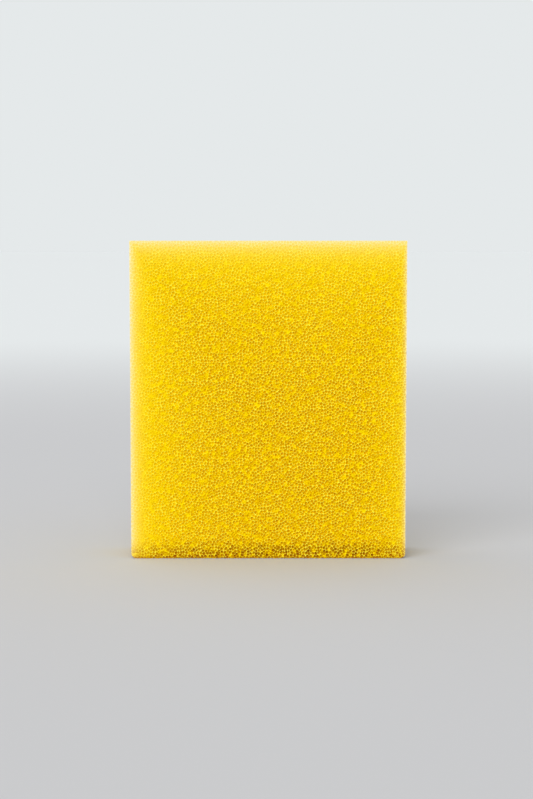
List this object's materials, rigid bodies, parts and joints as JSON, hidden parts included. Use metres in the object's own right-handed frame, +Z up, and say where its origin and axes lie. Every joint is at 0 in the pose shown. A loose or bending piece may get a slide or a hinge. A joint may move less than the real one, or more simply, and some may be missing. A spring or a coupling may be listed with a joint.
{
  "type": "scouring pad",
  "caption": "Rectangular slab of open-cell foam for scouring and wiping, standing on its narrow edge.",
  "frame": {"origin": "middle of the narrow underside that the pad stands on", "axes": "+Z up along the height, +X across the width, +Y through the thickness towards the back; the broad front face looks along -Y"},
  "size_m": [0.1, 0.025, 0.1155],
  "materials": {
    "foam": "yellow open-cell polyurethane foam, cut surface of thin glossy struts round open pores"
  },
  "bodies": {
    "root": {"foam_pad": "foam"}
  },
  "joints": []
}
